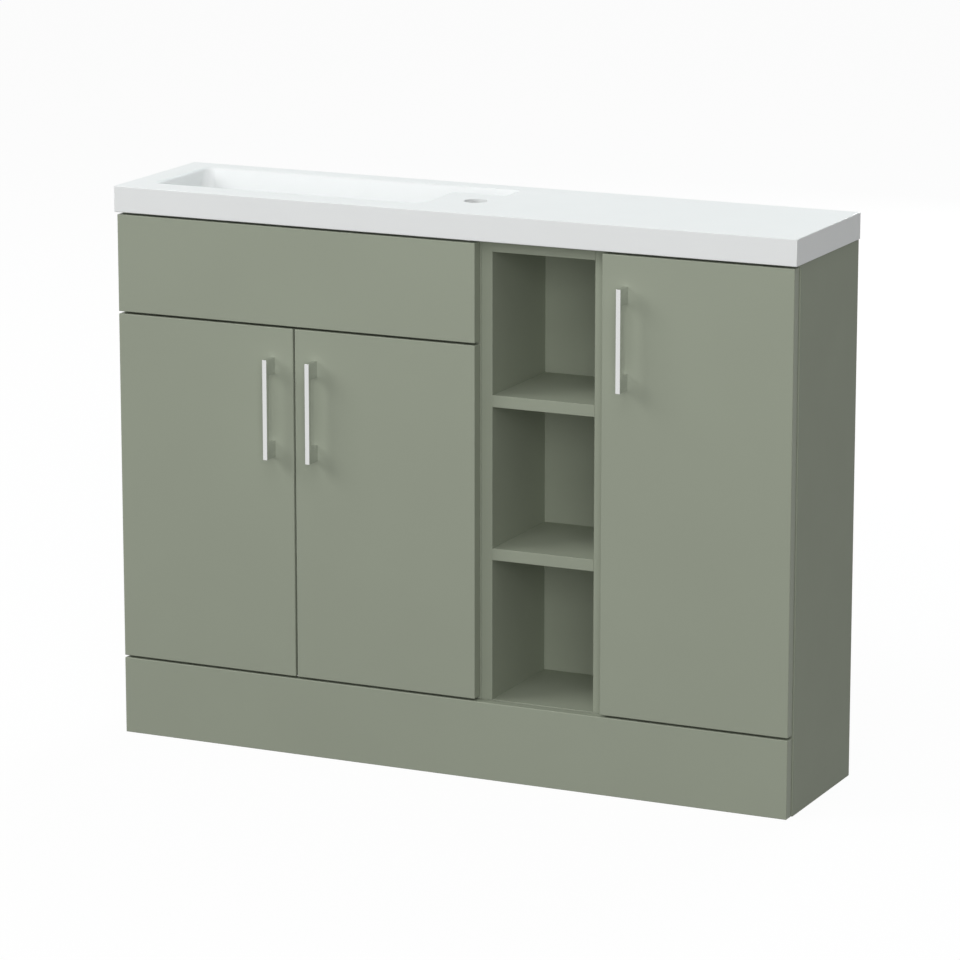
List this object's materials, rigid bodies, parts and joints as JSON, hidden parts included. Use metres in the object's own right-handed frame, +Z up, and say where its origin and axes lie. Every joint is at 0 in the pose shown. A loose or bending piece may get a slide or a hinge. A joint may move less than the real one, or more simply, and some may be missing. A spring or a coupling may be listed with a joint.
{
  "type": "combination vanity unit",
  "caption": "Slim floor-standing bathroom unit: basin cabinet, open shelves and a cupboard side by side under one cast top with an offset bowl and tap ledge.",
  "frame": {"origin": "on the floor, at the middle of the overall width and of the depth with the handles", "axes": "+X to the right as seen from the front, +Y towards the wall, +Z up"},
  "size_m": [1.105, 0.281, 0.856],
  "materials": {
    "faced_board": "satin green foil on chipboard",
    "satin_front": "satin green lacquer on MDF",
    "cast_top": "gloss white cast polymer",
    "brushed_handle": "brushed nickel",
    "plated_steel": "bright nickel plate",
    "beech_dowel": "turned beech",
    "clear_bumper": "clear soft plastic"
  },
  "bodies": {
    "carcass": {"vanity_side_left": "faced_board", "vanity_side_right": "faced_board", "vanity_base": "faced_board", "vanity_front_rail": "faced_board", "vanity_rear_rail_upper": "faced_board", "vanity_rear_rail_lower": "faced_board", "shelf_unit_side_left": "faced_board", "shelf_unit_side_right": "faced_board", "shelf_unit_top": "faced_board", "shelf_unit_base": "faced_board", "shelf_upper": "faced_board", "shelf_lower": "faced_board", "shelf_unit_back": "faced_board", "cupboard_side_left": "faced_board", "cupboard_side_right": "faced_board", "cupboard_top": "faced_board", "cupboard_base": "faced_board", "cupboard_rear_rail": "faced_board", "cupboard_back": "faced_board", "cupboard_shelf": "faced_board", "shelf_pins": "plated_steel", "plinth": "satin_front", "plinth_brackets": "plated_steel", "fascia_panel": "satin_front", "fascia_brackets": "plated_steel", "bracket_screws": "plated_steel", "basin_top": "cast_top", "carcass_dowels": "beech_dowel", "unit_joining_screws": "plated_steel", "hinge_mounting_plates": "plated_steel", "hinge_plate_screws": "plated_steel", "hinge_arms": "plated_steel", "hinge_arm_screws": "plated_steel"},
    "left_door": {"left_door": "satin_front", "left_door_handle": "brushed_handle", "left_door_handle_screws": "plated_steel", "left_door_hinge_cups": "plated_steel", "left_door_hinge_pins": "plated_steel", "left_door_cup_screws": "plated_steel", "left_door_bumpers": "clear_bumper"},
    "right_door": {"right_door": "satin_front", "right_door_handle": "brushed_handle", "right_door_handle_screws": "plated_steel", "right_door_hinge_cups": "plated_steel", "right_door_hinge_pins": "plated_steel", "right_door_cup_screws": "plated_steel", "right_door_bumpers": "clear_bumper"},
    "cupboard_door": {"cupboard_door": "satin_front", "cupboard_door_handle": "brushed_handle", "cupboard_door_handle_screws": "plated_steel", "cupboard_door_hinge_cups": "plated_steel", "cupboard_door_hinge_pins": "plated_steel", "cupboard_door_cup_screws": "plated_steel", "cupboard_door_bumpers": "clear_bumper"}
  },
  "joints": [
    {"name": "left_door_swing", "type": "hinge", "parent": "carcass", "child": "left_door", "pos_m": [-0.5417, -0.1045, 0.3915], "axis": [0, 0, -1], "range_deg": [0, 95]},
    {"name": "right_door_swing", "type": "hinge", "parent": "carcass", "child": "right_door", "pos_m": [0.0417, -0.1045, 0.3915], "axis": [0, 0, 1], "range_deg": [0, 95]},
    {"name": "cupboard_door_swing", "type": "hinge", "parent": "carcass", "child": "cupboard_door", "pos_m": [0.5417, -0.1045, 0.46775], "axis": [0, 0, 1], "range_deg": [0, 95]}
  ]
}
